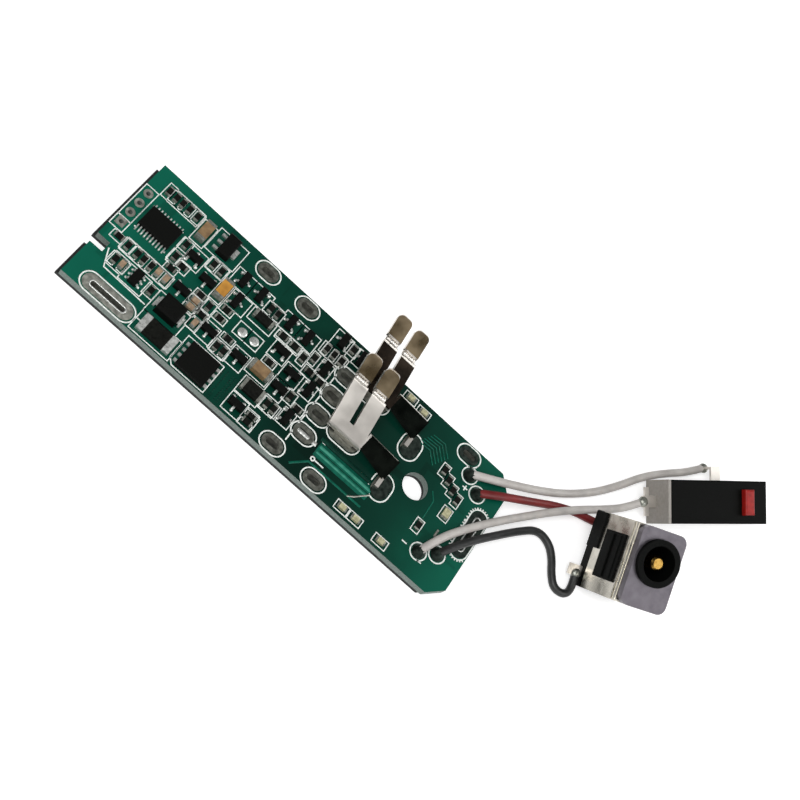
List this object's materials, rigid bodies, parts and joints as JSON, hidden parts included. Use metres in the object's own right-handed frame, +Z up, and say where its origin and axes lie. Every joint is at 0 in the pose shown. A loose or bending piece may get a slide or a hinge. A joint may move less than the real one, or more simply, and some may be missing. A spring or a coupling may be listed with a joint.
{
  "type": "battery management board",
  "caption": "Long green circuit board with surface-mounted parts, two stamped spring terminals, and a charge jack and a key switch on four free wires",
  "frame": {"origin": "axis of the round mounting hole at the underside, which is the floor", "axes": "X along the board from its notched end to the wire end, Y across the board, Z up from the component side"},
  "size_m": [0.1288, 0.0656, 0.0211],
  "materials": {
    "circuit_board": "green solder mask",
    "underside_pad": "matt",
    "slotted_lands": "tinned",
    "header_lands": "tinned",
    "solder_joints": "solder",
    "negative_terminal": "nickel plated",
    "positive_terminal": "nickel plated",
    "transistor_bodies": "moulded",
    "transistor_leads": "tinned",
    "microcontroller": "moulded",
    "microcontroller_leads": "tinned",
    "driver_chip": "moulded",
    "driver_chip_leads": "tinned",
    "voltage_regulator": "moulded",
    "regulator_leads": "tinned",
    "protection_diode": "moulded",
    "diode_tabs": "tinned",
    "power_mosfet": "moulded",
    "power_mosfet_leads": "tinned",
    "shunt_resistor": "moulded",
    "shunt_caps": "tinned",
    "chip_resistors": "moulded",
    "chip_resistor_caps": "tinned",
    "power_resistors": "moulded",
    "power_resistor_caps": "tinned",
    "chip_capacitors": "ceramic",
    "chip_capacitor_caps": "tinned",
    "bulk_capacitors": "ceramic",
    "bulk_capacitor_caps": "tinned",
    "indicator_lights": "clear resin",
    "indicator_caps": "tinned",
    "switch_base": "satin",
    "switch_housing": "satin",
    "switch_plunger": "gloss",
    "switch_blade": "polished",
    "switch_lugs": "tinned",
    "jack_body": "satin",
    "jack_pin": "polished",
    "jack_shell": "nickel plated",
    "jack_flange": "satin",
    "jack_spring": "polished",
    "jack_tags": "tinned",
    "switch_wire_back": "soft insulation",
    "switch_wire_end": "soft insulation",
    "charge_wire_red": "soft insulation",
    "charge_wire_black": "soft insulation"
  },
  "bodies": {
    "board": {"circuit_board": "circuit_board", "underside_pad": "underside_pad", "slotted_lands": "slotted_lands", "header_lands": "header_lands", "solder_joints": "solder_joints", "negative_terminal": "negative_terminal", "positive_terminal": "positive_terminal", "transistor_bodies": "transistor_bodies", "transistor_leads": "transistor_leads", "microcontroller": "microcontroller", "microcontroller_leads": "microcontroller_leads", "driver_chip": "driver_chip", "driver_chip_leads": "driver_chip_leads", "voltage_regulator": "voltage_regulator", "regulator_leads": "regulator_leads", "protection_diode": "protection_diode", "diode_tabs": "diode_tabs", "power_mosfet": "power_mosfet", "power_mosfet_leads": "power_mosfet_leads", "shunt_resistor": "shunt_resistor", "shunt_caps": "shunt_caps", "chip_resistors": "chip_resistors", "chip_resistor_caps": "chip_resistor_caps", "power_resistors": "power_resistors", "power_resistor_caps": "power_resistor_caps", "chip_capacitors": "chip_capacitors", "chip_capacitor_caps": "chip_capacitor_caps", "bulk_capacitors": "bulk_capacitors", "bulk_capacitor_caps": "bulk_capacitor_caps", "indicator_lights": "indicator_lights", "indicator_caps": "indicator_caps", "switch_base": "switch_base", "switch_housing": "switch_housing", "switch_blade": "switch_blade", "switch_lugs": "switch_lugs", "jack_body": "jack_body", "jack_pin": "jack_pin", "jack_shell": "jack_shell", "jack_flange": "jack_flange", "jack_spring": "jack_spring", "jack_tags": "jack_tags", "switch_wire_back": "switch_wire_back", "switch_wire_end": "switch_wire_end", "charge_wire_red": "charge_wire_red", "charge_wire_black": "charge_wire_black"},
    "plunger": {"switch_plunger": "switch_plunger"}
  },
  "joints": [
    {"name": "switch_press", "type": "slide", "parent": "board", "child": "plunger", "axis": [-0.1772, 0.1955, -0.9646], "range_m": [0, 0.0006], "stiffness_N_per_m": 600}
  ]
}
